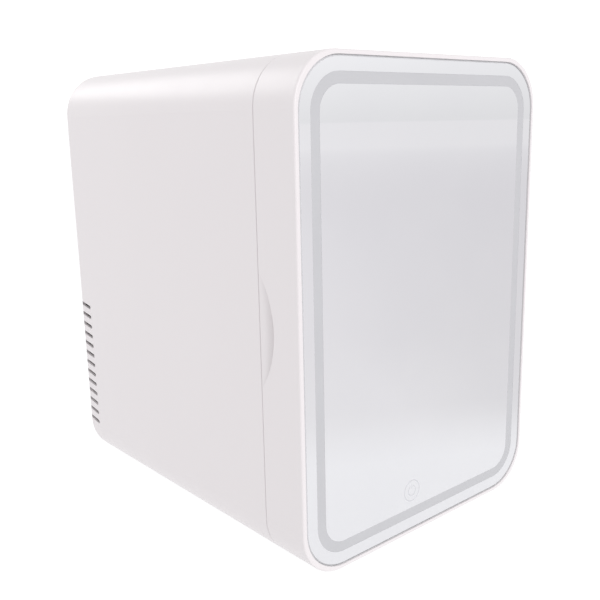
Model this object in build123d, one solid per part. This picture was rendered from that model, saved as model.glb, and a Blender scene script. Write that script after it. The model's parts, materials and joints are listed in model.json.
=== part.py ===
from build123d import *

import os

# Thermoelectric mini fridge with a mirrored, back-lit door. One STEP file per piece.
#
# Frame: +Z up, the door faces -Y, its hinges are on the +X side. The origin is at the middle of the
# whole object's box, on the surface that the feet stand on. The cabinet is built about x = 0 and every
# piece is moved to the frame by place(), because the hinge barrels stand proud on one side only.

# ---- driving dimensions, in millimetres ----
WIDTH = 238.0
SHELL_HEIGHT = 337.0
DEPTH = 299.0
CORNER_R = 34.0  # rounded corners of the cabinet and the door, seen from the front
MIRROR_CORNER_R = 36.5  # the mirror and its band are a little rounder than the shell around them
FOOT_HEIGHT = 3.0
WALL = 2.5
DOOR_THICKNESS = 38.4
SEAM_GAP = 0.3
SEAM_EDGE_R = 0.6  # softened edges on both sides of the seam

# ---- planes and centres ----
FRONT = -DEPTH / 2
REAR = DEPTH / 2
DOOR_BACK = FRONT + DOOR_THICKNESS
CABINET_FRONT = DOOR_BACK + SEAM_GAP
MID_Z = FOOT_HEIGHT + SHELL_HEIGHT / 2
SIDE = WIDTH / 2

# ---- door ----
LIP = 3.0  # rim of the door shell around the mirror
LIP_EDGE_R = 1.4
GLASS_RECESS = 0.5
GLASS_GAP = 0.5
GLASS_THICKNESS = 4.0
GLASS_BEVEL = 0.9  # ground edge of the mirror
GLASS_BACK = FRONT + GLASS_RECESS + GLASS_THICKNESS
WEB = 2.5  # plate of the door shell behind the mirror
BAND_OUTER = 12.7  # inset of the frosted band's edges from the door's outline
BAND_INNER = 20.0
BAND_DEPTH = 0.4
CHANNEL_DEPTH = 4.0
TOUCH_X, TOUCH_Z = -14.8, 36.3
TOUCH_R = 8.2
PLUG_W, PLUG_H, PLUG_DEPTH, PLUG_R = 164.0, 246.0, 9.0, 14.0
GASKET_T = 4.5
PANEL_T = 2.6

# ---- finger scoop in the door's free edge ----
SCOOP_Z = 168.5
SCOOP_CHORD = 77.0
SCOOP_REACH = 14.0  # how far it runs forward from the seam
SCOOP_DEPTH = 10.0  # at its front end; its floor bulges, and is flush with the side at the seam
SCOOP_SKIN = 2.5

# ---- cabinet ----
CHAMBER_W, CHAMBER_H, CHAMBER_R = 178.0, 262.0, 16.0
FRAME_FRONT = DOOR_BACK + GASKET_T + 0.3
FRAME_T = 2.5
CHAMBER_FRONT = FRAME_FRONT + FRAME_T
CHAMBER_BACK = 66.0
LINER_WALL = 2.0
FOAM_BACK = 91.5
REAR_EDGE_R = 6.0
FLANGE = 16.0  # rear rim of the shell, in from its side
LEDGE = 24.0  # inner edge of the ledge that the rear cover sits on
COVER_T = 2.8
VENT_COUNT, VENT_PITCH, VENT_H = 13, 8.8, 3.2
VENT_LOW_Z = 39.4
VENT_FRONT_Y, VENT_BACK_Y = REAR - 19.5, REAR - 3.0
VENT_TILT = 9.0  # the slots fall towards the door

FOOT_X, FOOT_Y = 72.0, (-84.0, 124.0)

# ---- cooling unit ----
UNIT_Z = 95.0
MODULE = 40.0
COLD_SINK = 82.0
COLD_BASE_BACK = 70.0
MODULE_FRONT, MODULE_BACK = 88.0, 91.8
HOT_BASE_BACK = 97.3
HOT_FIN_BACK = 118.0
HOT_FAN, HOT_FAN_FRONT, HOT_FAN_DEPTH = 80.0, 118.5, 20.0
COLD_FAN, COLD_FAN_FRONT, COLD_FAN_DEPTH = 60.0, 41.5, 10.0
RUNNING = 0.05  # radial clearance of a turning fit

# ---- shelf, rails and door bin ----
RAIL_Z = (158.0, 228.0)
RAIL_REACH, RAIL_H = 5.0, 3.0
SHELF_T = 3.0
SHELF_FRONT, SHELF_BACK = -82.0, 64.0
BIN_W, BIN_H, BIN_DEPTH, BIN_Z = 148.0, 48.0, 40.0, 62.0

# ---- hinges on the right ----
HINGE_R = 3.2
HINGE_X = SIDE + HINGE_R + 0.2
HINGE_Y = (DOOR_BACK + CABINET_FRONT) / 2
HINGE_Z = {"bottom": 52.0, "top": 291.0}
LEAF_T = 1.6
LEAF_HALF_H = 13.0
LEAF_SCREW_Y, LEAF_SCREW_DZ = 15.0, 8.0  # leaf screws, from the hinge axis and from the leaf's middle
PIN_R = 1.25
HINGE_PROUD = HINGE_X + HINGE_R - SIDE

# ---- rear connectors ----
RECESS_Z = 190.0
RECESS_W, RECESS_H, RECESS_DEPTH = 118.0, 30.0, 6.0
RECESS_FLOOR = REAR - RECESS_DEPTH
INLET_X, JACK_X, SWITCH_X = -38.0, 0.0, 38.0
ROCKER_R = 8.6
ROCKER_PIVOT_Y = RECESS_FLOOR - 2.4
ROCKER_HALF_H = 5.0

# ---- power board and internal leads ----
BOARD_Y, BOARD_LOW_Z, BOARD_HIGH_Z = 102.0, 222.0, 300.0
SOCKET_X = {"mains": -38.0, "module": -12.0, "adapter": 12.0, "fans": 36.0}
SOCKET_LOW_Z = 226.0
LEAD_Y = BOARD_Y + 6.1  # leads enter the sockets from below, in this plane
LEAD_END_Z = SOCKET_LOW_Z - 0.3
MODULE_LEAD_X = -12.0
COLD_LEAD_X, COLD_LEAD_Y = 44.5, 80.0

SHIFT = Pos(-HINGE_PROUD / 2, 0, 0)


# ---- helpers ----
def slab(sketch, y0, y1):
    """A sketch drawn in x and z, made solid from y0 to y1."""
    plane = Plane(origin=(0, y1, 0), x_dir=(1, 0, 0), z_dir=(0, -1, 0))
    return extrude(plane * sketch, amount=y1 - y0)


def rounded(width, height, radius, x=0.0, z=MID_Z):
    return Pos(x, z) * RectangleRounded(width, height, radius)


def outline(inset):
    """The cabinet's front outline, moved in by inset."""
    return rounded(WIDTH - 2 * inset, SHELL_HEIGHT - 2 * inset, CORNER_R - inset)


def ring(outer_inset, inner_inset, y0, y1):
    return slab(outline(outer_inset) - outline(inner_inset), y0, y1)


def mirror_outline(inset):
    """Outline of the mirror and of what follows its edge, in from the door's own outline."""
    return rounded(WIDTH - 2 * inset, SHELL_HEIGHT - 2 * inset, MIRROR_CORNER_R - inset)


def mirror_ring(outer_inset, inner_inset, y0, y1):
    return slab(mirror_outline(outer_inset) - mirror_outline(inner_inset), y0, y1)


def block(x0, x1, y0, y1, z0, z1):
    return Pos((x0 + x1) / 2, (y0 + y1) / 2, (z0 + z1) / 2) * Box(x1 - x0, y1 - y0, z1 - z0)


def rod_y(radius, x, z, y0, y1):
    return Pos(x, (y0 + y1) / 2, z) * Rot(90, 0, 0) * Cylinder(radius, y1 - y0)


def rod_z(radius, x, y, z0, z1):
    return Pos(x, y, (z0 + z1) / 2) * Cylinder(radius, z1 - z0)


def rod_x(radius, y, z, x0, x1):
    return Pos((x0 + x1) / 2, y, z) * Rot(0, 90, 0) * Cylinder(radius, x1 - x0)


def joined(pieces):
    whole = pieces[0]
    for piece in pieces[1:]:
        whole += piece
    return whole


def screw_y(x, z, head_y, length, head_r=2.9, shank_r=1.25, head_t=1.8, towards=-1):
    """Pan-head screw along Y with a cross recess: its head's seat is at head_y, and its shank runs towards
    +Y or -Y."""
    seat, top = head_y, head_y - towards * head_t
    head = rod_y(head_r, x, z, min(seat, top), max(seat, top))
    outer_rim = head.edges().filter_by(GeomType.CIRCLE).sort_by(Axis.Y)[0 if towards > 0 else -1]
    head = fillet(outer_rim, head_t * 0.45)
    end = seat + towards * length
    shank = rod_y(shank_r, x, z, min(seat, end), max(seat, end))
    cut_to = top + towards * head_t * 0.6
    for wide, tall in ((head_r, 0.7), (0.7, head_r)):
        head -= slab(Pos(x, z) * Rectangle(wide, tall), min(top, cut_to), max(top, cut_to))
    return head + shank


def place(shape):
    return SHIFT * shape


# ---- door ----
def scoop_cutter(grow):
    """The space of the finger scoop, or its backing when grown by the skin's thickness."""
    seam_y = DOOR_BACK
    radius = ((SCOOP_CHORD / 2) ** 2 + SCOOP_REACH**2) / (2 * SCOOP_REACH)
    ends_x = (-SIDE - 20, -SIDE + SCOOP_DEPTH + grow)
    side_arc = rod_x(radius + grow, seam_y - SCOOP_REACH + radius, SCOOP_Z, *ends_x)
    floor_r = (SCOOP_REACH**2 + SCOOP_DEPTH**2) / (2 * SCOOP_DEPTH)
    ends_z = (SCOOP_Z - SCOOP_CHORD, SCOOP_Z + SCOOP_CHORD)
    floor_bulge = rod_z(floor_r - grow, -SIDE + floor_r, seam_y, *ends_z)
    return side_arc - floor_bulge


def make_door_shell():
    shell = slab(outline(0), FRONT, DOOR_BACK)
    shell = fillet(shell.faces().sort_by(Axis.Y)[0].edges(), LIP_EDGE_R)
    shell = fillet(shell.faces().sort_by(Axis.Y)[-1].edges(), SEAM_EDGE_R)
    shell -= slab(mirror_outline(LIP), FRONT - 1, GLASS_BACK)
    shell -= slab(outline(WALL), GLASS_BACK + WEB, DOOR_BACK + 1)
    shell += mirror_ring(BAND_OUTER - 2.7, BAND_INNER + 3, GLASS_BACK, GLASS_BACK + CHANNEL_DEPTH + 2)
    shell -= mirror_ring(BAND_OUTER - 0.7, BAND_INNER + 1, GLASS_BACK - 1, GLASS_BACK + CHANNEL_DEPTH)
    window = Pos(TOUCH_X, TOUCH_Z + 1.5) * Rectangle(24, 21)
    shell -= slab(window, GLASS_BACK - 1, GLASS_BACK + WEB + 1)
    envelope = slab(outline(1.0), GLASS_BACK, DOOR_BACK)
    shell += scoop_cutter(SCOOP_SKIN) & envelope
    shell -= scoop_cutter(0)
    for x, z in panel_screw_places():
        shell += rod_y(4.0, x, z, GLASS_BACK + WEB - 0.5, DOOR_BACK - PANEL_T)
        shell -= rod_y(1.3, x, z, DOOR_BACK - PANEL_T - 12, DOOR_BACK)
    for place_yz in hinge_screw_places(HINGE_Y - LEAF_SCREW_Y):
        shell += rod_x(3.5, *place_yz, SIDE - 8, SIDE - 1)
        shell -= rod_x(1.3, *place_yz, SIDE - 9, SIDE + 1)
    return shell


def power_sign(cx, cz):
    """Power sign in a circle, as a sketch: an outer ring, an open inner ring and a short bar."""
    outer = Circle(TOUCH_R) - Circle(TOUCH_R - 0.7)
    inner = Circle(4.1) - Circle(3.4) - Pos(0, 4) * Rectangle(2.6, 4)
    bar = Pos(0, 3.2) * Rectangle(0.7, 3.4)
    return [Pos(cx, cz) * shape for shape in (outer, inner, bar)]


def make_mirror_glass():
    front = FRONT + GLASS_RECESS
    glass = slab(mirror_outline(LIP + GLASS_GAP), front, GLASS_BACK)
    glass = chamfer(glass.faces().sort_by(Axis.Y)[0].edges(), GLASS_BEVEL)
    glass -= mirror_ring(BAND_OUTER, BAND_INNER, front - 1, front + BAND_DEPTH)
    for sign in power_sign(TOUCH_X, TOUCH_Z):
        glass -= slab(sign, front - 1, front + BAND_DEPTH)
    return glass


def make_light_band():
    front = FRONT + GLASS_RECESS
    return mirror_ring(BAND_OUTER + 0.04, BAND_INNER - 0.04, front + 0.05, front + BAND_DEPTH)


def make_touch_mark():
    front = FRONT + GLASS_RECESS
    signs = [slab(sign, front + 0.05, front + BAND_DEPTH) for sign in power_sign(TOUCH_X, TOUCH_Z)]
    return Compound(children=signs)


def make_led_strip():
    seat = GLASS_BACK + CHANNEL_DEPTH
    return mirror_ring(BAND_OUTER, BAND_INNER + 0.3, seat - 1.0, seat)


def make_leds():
    """Lamps along the strip, spaced evenly on its four straight sides."""
    seat = GLASS_BACK + CHANNEL_DEPTH - 1.0
    middle = (BAND_OUTER + BAND_INNER) / 2
    x_side, z_side = SIDE - middle, SHELL_HEIGHT / 2 - middle
    lamps = []
    for i in range(-5, 6):
        for sign in (-1, 1):
            z = MID_Z + i * 25.0
            lamps.append(block(sign * x_side - 1.4, sign * x_side + 1.4, seat - 0.8, seat, z - 1.8, z + 1.8))
    for i in range(-3, 4):
        for sign in (-1, 1):
            z = MID_Z + sign * z_side
            lamps.append(block(i * 25.0 - 1.8, i * 25.0 + 1.8, seat - 0.8, seat, z - 1.4, z + 1.4))
    return Compound(children=lamps)


def make_touch_board():
    board = block(TOUCH_X - 11, TOUCH_X + 11, GLASS_BACK + 0.1, GLASS_BACK + 1.7, TOUCH_Z - 8, TOUCH_Z + 11)
    chip = block(TOUCH_X - 3, TOUCH_X + 3, GLASS_BACK + 1.7, GLASS_BACK + 2.4, TOUCH_Z - 2, TOUCH_Z + 3)
    return board + chip


def panel_screw_places():
    return [(sx * 93.0, MID_Z + dz) for sx in (-1, 1) for dz in (-125.0, 62.0, 125.0)]


def make_door_foam():
    start = GLASS_BACK + CHANNEL_DEPTH + 2.2
    foam = slab(outline(WALL + 0.4), start, DOOR_BACK - PANEL_T - 0.2)
    core = rounded(PLUG_W - 4.6, PLUG_H - 4.6, PLUG_R - 2.3)
    foam += slab(core, DOOR_BACK - 6, DOOR_BACK + PLUG_DEPTH - 2.2)
    foam -= scoop_cutter(SCOOP_SKIN + 0.3)
    for x, z in panel_screw_places():
        foam -= rod_y(4.4, x, z, start - 1, DOOR_BACK)
    for place_yz in hinge_screw_places(HINGE_Y - LEAF_SCREW_Y):
        foam -= rod_x(3.9, *place_yz, SIDE - 8.4, SIDE)
    return foam


def make_inner_panel():
    panel = slab(outline(WALL + 0.3), DOOR_BACK - PANEL_T, DOOR_BACK)
    plug = slab(rounded(PLUG_W, PLUG_H, PLUG_R), DOOR_BACK - 0.5, DOOR_BACK + PLUG_DEPTH)
    plug = fillet(plug.faces().sort_by(Axis.Y)[-1].edges(), 3.0)
    panel += plug
    hollow = rounded(PLUG_W - 4, PLUG_H - 4, PLUG_R - 2)
    panel -= slab(hollow, DOOR_BACK - PANEL_T - 1, DOOR_BACK + PLUG_DEPTH - 2)
    panel -= scoop_cutter(SCOOP_SKIN + 0.3)
    for x, z in panel_screw_places():
        panel -= rod_y(1.6, x, z, DOOR_BACK - PANEL_T - 1, DOOR_BACK + 1)
    for sx in (-1, 1):
        hook_x = sx * (BIN_W / 2 - 22)
        back = DOOR_BACK + PLUG_DEPTH
        top = BIN_Z + BIN_H - 6
        panel += block(hook_x - 7, hook_x + 7, back - 0.5, back + 2.2, top - 16, top)
        panel += block(hook_x - 10, hook_x + 10, back + 2.2, back + 4.4, top - 16, top)
    return panel


def make_gasket():
    base = ring(5.2, 16.8, DOOR_BACK, DOOR_BACK + 1.6)
    bulb = ring(6.8, 15.2, DOOR_BACK + 1.2, DOOR_BACK + GASKET_T)
    bulb = fillet(bulb.faces().sort_by(Axis.Y)[-1].edges(), 1.5)
    magnet_slot = ring(9.0, 13.0, DOOR_BACK + 2.0, DOOR_BACK + 3.4)
    return base + bulb - magnet_slot


def make_magnet_strip():
    return ring(9.2, 12.8, DOOR_BACK + 2.1, DOOR_BACK + 3.3)


def make_door_bin():
    """Open-topped tray that hangs on the two hooks of the door's inner panel."""
    back = DOOR_BACK + PLUG_DEPTH + 4.8
    wall = 2.0
    tray = slab(rounded(BIN_W, BIN_H, 5, z=BIN_Z + BIN_H / 2), back - 4.2, back + BIN_DEPTH)
    hooks_space = []
    for sx in (-1, 1):
        hook_x = sx * (BIN_W / 2 - 22)
        top = BIN_Z + BIN_H - 6
        neck = block(hook_x - 7.6, hook_x + 7.6, back - 5, back - 2.2, BIN_Z - 5, top + 0.4)
        head = block(hook_x - 10.6, hook_x + 10.6, back - 3.0, back + 0.2, BIN_Z - 5, top + 0.4)
        hooks_space += [neck, head]
    inside = slab(rounded(BIN_W - 2 * wall, BIN_H + 20, 4, z=BIN_Z + wall + (BIN_H + 20) / 2),
                  back + 1.6, back + BIN_DEPTH - wall)
    tray -= inside
    for space in hooks_space:
        tray -= space
    for i in range(-5, 6):
        tray -= slab(rounded(5, BIN_H - 22, 2.4, x=i * 12.0, z=BIN_Z + BIN_H / 2 - 2),
                     back + BIN_DEPTH - wall - 1, back + BIN_DEPTH + 1)
    return tray


# ---- hinges ----
def hinge_screw_places(y):
    """The (y, z) places of a leaf's screws, two on each hinge."""
    return [(y, z + dz) for z in HINGE_Z.values() for dz in (-LEAF_SCREW_DZ, LEAF_SCREW_DZ)]


def make_cabinet_leaf(z):
    leaf = block(SIDE, SIDE + LEAF_T, HINGE_Y + 1.2, HINGE_Y + 22, z - LEAF_HALF_H, z + LEAF_HALF_H)
    leaf = fillet(leaf.edges().filter_by(Axis.X).sort_by(Axis.Y)[-2:], 3.0)
    for z0, z1 in ((z - LEAF_HALF_H, z - 5.2), (z + 5.2, z + LEAF_HALF_H)):
        leaf += rod_z(HINGE_R, HINGE_X, HINGE_Y, z0, z1)
        leaf += block(SIDE, HINGE_X, HINGE_Y + 0.6, HINGE_Y + HINGE_R, z0, z1)
    leaf -= rod_z(PIN_R + 0.02, HINGE_X, HINGE_Y, z - 20, z + 20)
    leaf -= block(SIDE - 1, SIDE + 20, HINGE_Y - 10, HINGE_Y + HINGE_R + 0.5, z - 5.2, z + 5.2)
    for dz in (-LEAF_SCREW_DZ, LEAF_SCREW_DZ):
        leaf -= rod_x(1.3, HINGE_Y + LEAF_SCREW_Y, z + dz, SIDE - 1, SIDE + 4)
    return leaf


def make_door_leaf(z):
    leaf = block(SIDE, SIDE + LEAF_T, HINGE_Y - 22, HINGE_Y - 1.2, z - LEAF_HALF_H, z + LEAF_HALF_H)
    leaf = fillet(leaf.edges().filter_by(Axis.X).sort_by(Axis.Y)[:2], 3.0)
    leaf -= block(SIDE - 1, SIDE + 20, HINGE_Y - HINGE_R - 0.5, HINGE_Y + 10, z - 20, z - 4.9)
    leaf -= block(SIDE - 1, SIDE + 20, HINGE_Y - HINGE_R - 0.5, HINGE_Y + 10, z + 4.9, z + 20)
    leaf += rod_z(HINGE_R, HINGE_X, HINGE_Y, z - 4.9, z + 4.9)
    leaf += block(SIDE, HINGE_X, HINGE_Y - HINGE_R, HINGE_Y - 0.6, z - 4.9, z + 4.9)
    leaf -= rod_z(PIN_R + RUNNING, HINGE_X, HINGE_Y, z - 20, z + 20)
    for dz in (-LEAF_SCREW_DZ, LEAF_SCREW_DZ):
        leaf -= rod_x(1.3, HINGE_Y - LEAF_SCREW_Y, z + dz, SIDE - 1, SIDE + 4)
    return leaf


def make_hinge_pins():
    pins = []
    for z in HINGE_Z.values():
        pin = rod_z(PIN_R, HINGE_X, HINGE_Y, z - LEAF_HALF_H, z + LEAF_HALF_H)
        head = rod_z(2.2, HINGE_X, HINGE_Y, z + LEAF_HALF_H, z + LEAF_HALF_H + 1.2)
        pins.append(pin + fillet(head.edges().sort_by(Axis.Z)[-1], 0.6))
    return Compound(children=pins)


def make_hinge_screws(y):
    screws = []
    for y, z in hinge_screw_places(y):
        head = rod_x(2.6, y, z, SIDE + LEAF_T, SIDE + LEAF_T + 1.1)
        head = fillet(head.edges().filter_by(GeomType.CIRCLE).sort_by(Axis.X)[-1], 0.6)
        for wide, tall in ((2.4, 0.6), (0.6, 2.4)):
            head -= Pos(SIDE + LEAF_T + 1.1, y, z) * Box(1.2, wide, tall)
        screws.append(head + rod_x(1.25, y, z, SIDE - 7, SIDE + LEAF_T))
    return Compound(children=screws)


# ---- cabinet ----
def make_outer_shell():
    shell = slab(outline(0), CABINET_FRONT, REAR)
    shell = fillet(shell.faces().sort_by(Axis.Y)[-1].edges(), REAR_EDGE_R)
    shell = fillet(shell.faces().sort_by(Axis.Y)[0].edges(), SEAM_EDGE_R)
    shell -= slab(outline(WALL), CABINET_FRONT - 1, REAR - WALL - REAR_EDGE_R)
    core = slab(outline(WALL), REAR - WALL - REAR_EDGE_R - 1, REAR - WALL)
    shell -= fillet(core.faces().sort_by(Axis.Y)[-1].edges(), REAR_EDGE_R - WALL)
    shell -= slab(outline(FLANGE), REAR - WALL - 1, REAR + 1)
    seat = REAR - COVER_T
    shell += ring(FLANGE - 2, FLANGE, seat - WALL, REAR - 0.8)
    shell += ring(FLANGE - 2, LEDGE, seat - WALL, seat)
    for x, z in rear_screw_places():
        shell += rod_y(3.6, x, z, seat - WALL - 8, seat - 0.5)
        shell -= rod_y(1.3, x, z, seat - WALL - 8.5, seat + 1)
    for i in range(VENT_COUNT):
        z = VENT_LOW_Z + i * VENT_PITCH
        for sx in (-1, 1):
            slot = Box(4 * WALL, VENT_BACK_Y - VENT_FRONT_Y, VENT_H)
            slot = fillet(slot.edges().filter_by(Axis.X), VENT_H * 0.48)
            shell -= Pos(sx * SIDE, (VENT_FRONT_Y + VENT_BACK_Y) / 2, z) * Rot(VENT_TILT, 0, 0) * slot
    for x, y in foot_places():
        shell -= rod_z(3.1, x, y, 0, FOOT_HEIGHT + WALL + 1)
    for place_yz in hinge_screw_places(HINGE_Y + LEAF_SCREW_Y):
        shell += rod_x(3.5, *place_yz, SIDE - 8, SIDE - 1)
        shell -= rod_x(1.3, *place_yz, SIDE - 9, SIDE + 1)
    return shell


def rear_screw_places():
    inset = (FLANGE + LEDGE) / 2 + 0.2
    x, z = SIDE - inset, SHELL_HEIGHT / 2 - inset
    return [(sx * x, MID_Z + dz) for sx in (-1, 1) for dz in (-z + 12, 22.0, z - 12)]


def foot_places():
    return [(sx * FOOT_X, y) for sx in (-1, 1) for y in FOOT_Y]


def make_foot(x, y):
    pad = rod_z(10.0, x, y, 0, FOOT_HEIGHT)
    pad = fillet(pad.edges().sort_by(Axis.Z)[0], 1.0)
    stem = rod_z(3.0, x, y, FOOT_HEIGHT, FOOT_HEIGHT + WALL)
    barb = Pos(x, y, FOOT_HEIGHT + WALL + 1.5) * Cone(4.0, 2.4, 3.0)
    return pad + stem + barb


def make_front_frame():
    frame = slab(outline(WALL + 0.2), FRAME_FRONT, CHAMBER_FRONT)
    frame -= slab(rounded(CHAMBER_W, CHAMBER_H, CHAMBER_R), FRAME_FRONT - 1, CHAMBER_FRONT + 1)
    return fillet(frame.faces().sort_by(Axis.Y)[0].inner_wires()[0].edges(), 1.2)


def make_liner():
    outer = rounded(CHAMBER_W + 2 * LINER_WALL, CHAMBER_H + 2 * LINER_WALL, CHAMBER_R + LINER_WALL)
    liner = slab(outer, CHAMBER_FRONT, CHAMBER_BACK + LINER_WALL)
    space = slab(rounded(CHAMBER_W, CHAMBER_H, CHAMBER_R), CHAMBER_FRONT - 1, CHAMBER_BACK)
    liner -= fillet(space.faces().sort_by(Axis.Y)[-1].edges(), 4.0)
    for z in RAIL_Z:
        for sx in (-1, 1):
            wall_x, tip_x = sx * (CHAMBER_W / 2 + 0.5), sx * (CHAMBER_W / 2 - RAIL_REACH)
            rail = block(min(wall_x, tip_x), max(wall_x, tip_x), CHAMBER_FRONT + 6, CHAMBER_BACK - 1,
                         z - RAIL_H, z)
            liner += rail
    window = COLD_SINK / 2 + 0.5
    liner -= block(-window, window, CHAMBER_BACK - 1, CHAMBER_BACK + 5, UNIT_Z - window, UNIT_Z + window)
    liner -= rod_y(1.6, COLD_LEAD_X, UNIT_Z, CHAMBER_BACK - 1, CHAMBER_BACK + 5)
    for x, z in inner_cover_screw_places():
        liner += rod_y(3.4, x, z, CHAMBER_BACK - 6, CHAMBER_BACK + 0.5)
        liner -= rod_y(1.3, x, z, CHAMBER_BACK - 7, CHAMBER_BACK + 5)
    return liner


def make_foam():
    foam = slab(outline(WALL + 0.4), CHAMBER_FRONT + 0.2, FOAM_BACK)
    gap = 0.3
    grow = 2 * (LINER_WALL + gap)
    hole = rounded(CHAMBER_W + grow, CHAMBER_H + grow, CHAMBER_R + LINER_WALL)
    foam -= slab(hole, CHAMBER_FRONT - 1, CHAMBER_BACK + LINER_WALL + gap)
    sink = COLD_SINK / 2 + 1
    foam -= block(-sink, sink, CHAMBER_BACK, COLD_BASE_BACK + gap, UNIT_Z - sink, UNIT_Z + sink)
    core = MODULE / 2 + 2
    foam -= block(-core - 12, core + 12, COLD_BASE_BACK - 1, FOAM_BACK + 1, UNIT_Z - core, UNIT_Z + core)
    pad = MODULE / 2 + 11
    foam -= block(-pad - 2, pad + 2, MODULE_FRONT - 0.2, FOAM_BACK + 1, UNIT_Z - pad, UNIT_Z + pad)
    for x, y in foot_places():
        foam -= rod_z(4.6, x, y, 0, FOOT_HEIGHT + WALL + 4)
    for place_yz in hinge_screw_places(HINGE_Y + LEAF_SCREW_Y):
        foam -= rod_x(3.9, *place_yz, SIDE - 8.4, SIDE)
    x, out = MODULE_LEAD_X, FOAM_BACK + 1
    foam -= block(x - 5, x + 5, MODULE_FRONT - 0.2, out, UNIT_Z + pad - 1, UNIT_Z + 75)
    x, y = COLD_LEAD_X, COLD_LEAD_Y
    foam -= block(x - 3, x + 3, CHAMBER_BACK, y + 3, UNIT_Z - 3, UNIT_Z + 3)
    foam -= block(x - 9, x + 3, y - 3, out, UNIT_Z - 3, UNIT_Z + 83)
    return foam


def make_rear_cover():
    seat = REAR - COVER_T
    cover = slab(outline(FLANGE + 0.4), seat, REAR)
    cover = fillet(cover.faces().sort_by(Axis.Y)[-1].edges(), 0.8)
    pocket = rounded(RECESS_W, RECESS_H, 6, z=RECESS_Z)
    tub = rounded(RECESS_W + 2 * WALL, RECESS_H + 2 * WALL, 8, z=RECESS_Z)
    cover += slab(tub, RECESS_FLOOR - WALL, seat + 0.5)
    cover -= slab(pocket, RECESS_FLOOR, REAR + 1)
    cover -= slab(rounded(21.0, 13.0, 2, x=INLET_X, z=RECESS_Z), RECESS_FLOOR - 5, REAR)
    cover -= rod_y(6.2, JACK_X, RECESS_Z, RECESS_FLOOR - 5, REAR)
    cover -= slab(rounded(21.0, 14.6, 1, x=SWITCH_X, z=RECESS_Z), RECESS_FLOOR - 5, REAR)
    for r in range(9, 40, 6):
        slot = rod_y(r + 3.0, 0, UNIT_Z, seat - 1, REAR + 1) - rod_y(r, 0, UNIT_Z, seat - 2, REAR + 2)
        for i in range(3):
            slot -= Pos(0, REAR, UNIT_Z) * Rot(0, 60 * i, 0) * Box(100, 20, 3.4)
        cover -= slot
    for i in range(-2, 3):
        for sx in (-1, 1):
            slot = rounded(30, VENT_H, 1.5, x=sx * 68.0, z=UNIT_Z + i * VENT_PITCH)
            cover -= slab(slot, seat - 1, REAR + 1)
    for x, z in rear_screw_places():
        cover -= rod_y(1.6, x, z, seat - 1, REAR + 1)
        cover -= rod_y(3.4, x, z, REAR - 1.7, REAR + 1)
    return cover


# ---- cooling unit ----
def sink_block(width, height, base, fins_y, count, fin_t):
    """Extruded heat sink: a base plate and upright fins along z. base and fins_y are (from, to) in y."""
    low, high = UNIT_Z - height / 2, UNIT_Z + height / 2
    sink = block(-width / 2, width / 2, *base, low, high)
    pitch = (width - fin_t) / (count - 1)
    for i in range(count):
        x = -width / 2 + fin_t / 2 + i * pitch
        sink += block(x - fin_t / 2, x + fin_t / 2, *fins_y, low, high)
    return sink


def clamp_screw_places():
    return [(sx * 27.0, UNIT_Z) for sx in (-1, 1)]


def make_hot_sink():
    base, fins = (MODULE_BACK, HOT_BASE_BACK), (HOT_BASE_BACK - 0.2, HOT_FIN_BACK)
    sink = sink_block(120.0, 100.0, base, fins, 17, 1.6)
    for x, z in clamp_screw_places():
        sink -= rod_y(4.0, x, z, HOT_BASE_BACK, HOT_FIN_BACK + 1)
        sink -= rod_y(2.1, x, z, MODULE_BACK - 1, HOT_BASE_BACK + 1)
    for x, z in fan_screw_places(HOT_FAN):
        sink += rod_y(3.4, x, z, HOT_BASE_BACK - 0.2, HOT_FIN_BACK)
        sink -= rod_y(1.3, x, z, HOT_FIN_BACK - 12, HOT_FIN_BACK + 1)
    return sink


def make_cold_sink():
    fins = (COLD_FAN_FRONT + COLD_FAN_DEPTH + 0.5, CHAMBER_BACK + 0.2)
    sink = sink_block(COLD_SINK, COLD_SINK, (CHAMBER_BACK, COLD_BASE_BACK), fins, 12, 1.4)
    for x, z in clamp_screw_places():
        sink -= rod_y(4.0, x, z, 40, CHAMBER_BACK)
        sink -= rod_y(1.85, x, z, CHAMBER_BACK - 1, COLD_BASE_BACK + 1)
    return sink


def make_cold_block():
    half = MODULE / 2
    return block(-half, half, COLD_BASE_BACK, MODULE_FRONT, UNIT_Z - half, UNIT_Z + half)


def make_module():
    plate = Pos(0, UNIT_Z) * Rectangle(MODULE, MODULE)
    cold = slab(plate, MODULE_FRONT, MODULE_FRONT + 0.8)
    hot = slab(plate, MODULE_BACK - 0.8, MODULE_BACK)
    legs = slab(Pos(0, UNIT_Z) * Rectangle(MODULE - 3, MODULE - 3), MODULE_FRONT + 0.6, MODULE_BACK - 0.6)
    return cold + legs + hot


def make_module_gasket():
    outer, inner = MODULE / 2 + 10, MODULE / 2 + 0.4
    pad = slab(rounded(2 * outer + 4, 2 * outer, 4, z=UNIT_Z), MODULE_FRONT + 0.1, MODULE_BACK - 0.1)
    pad -= block(-inner, inner, MODULE_FRONT - 1, MODULE_BACK + 1, UNIT_Z - inner, UNIT_Z + inner)
    x, ends = MODULE_LEAD_X, (MODULE_FRONT - 1, MODULE_BACK + 1)
    pad -= block(x - 5, x + 5, *ends, UNIT_Z + inner - 1, UNIT_Z + 40)
    for x, z in clamp_screw_places():
        pad -= rod_y(2.3, x, z, MODULE_FRONT - 1, MODULE_BACK + 1)
    return pad


def make_clamp_screws():
    end = CHAMBER_BACK - 0.5
    screws = [screw_y(x, z, HOT_BASE_BACK, HOT_BASE_BACK - end, head_r=3.6, shank_r=1.8, head_t=2.6)
              for x, z in clamp_screw_places()]
    return Compound(children=screws)


def fan_screw_places(size):
    half = size / 2 - 4.2
    return [(sx * half, UNIT_Z + sz * half) for sx in (-1, 1) for sz in (-1, 1)]


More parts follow.
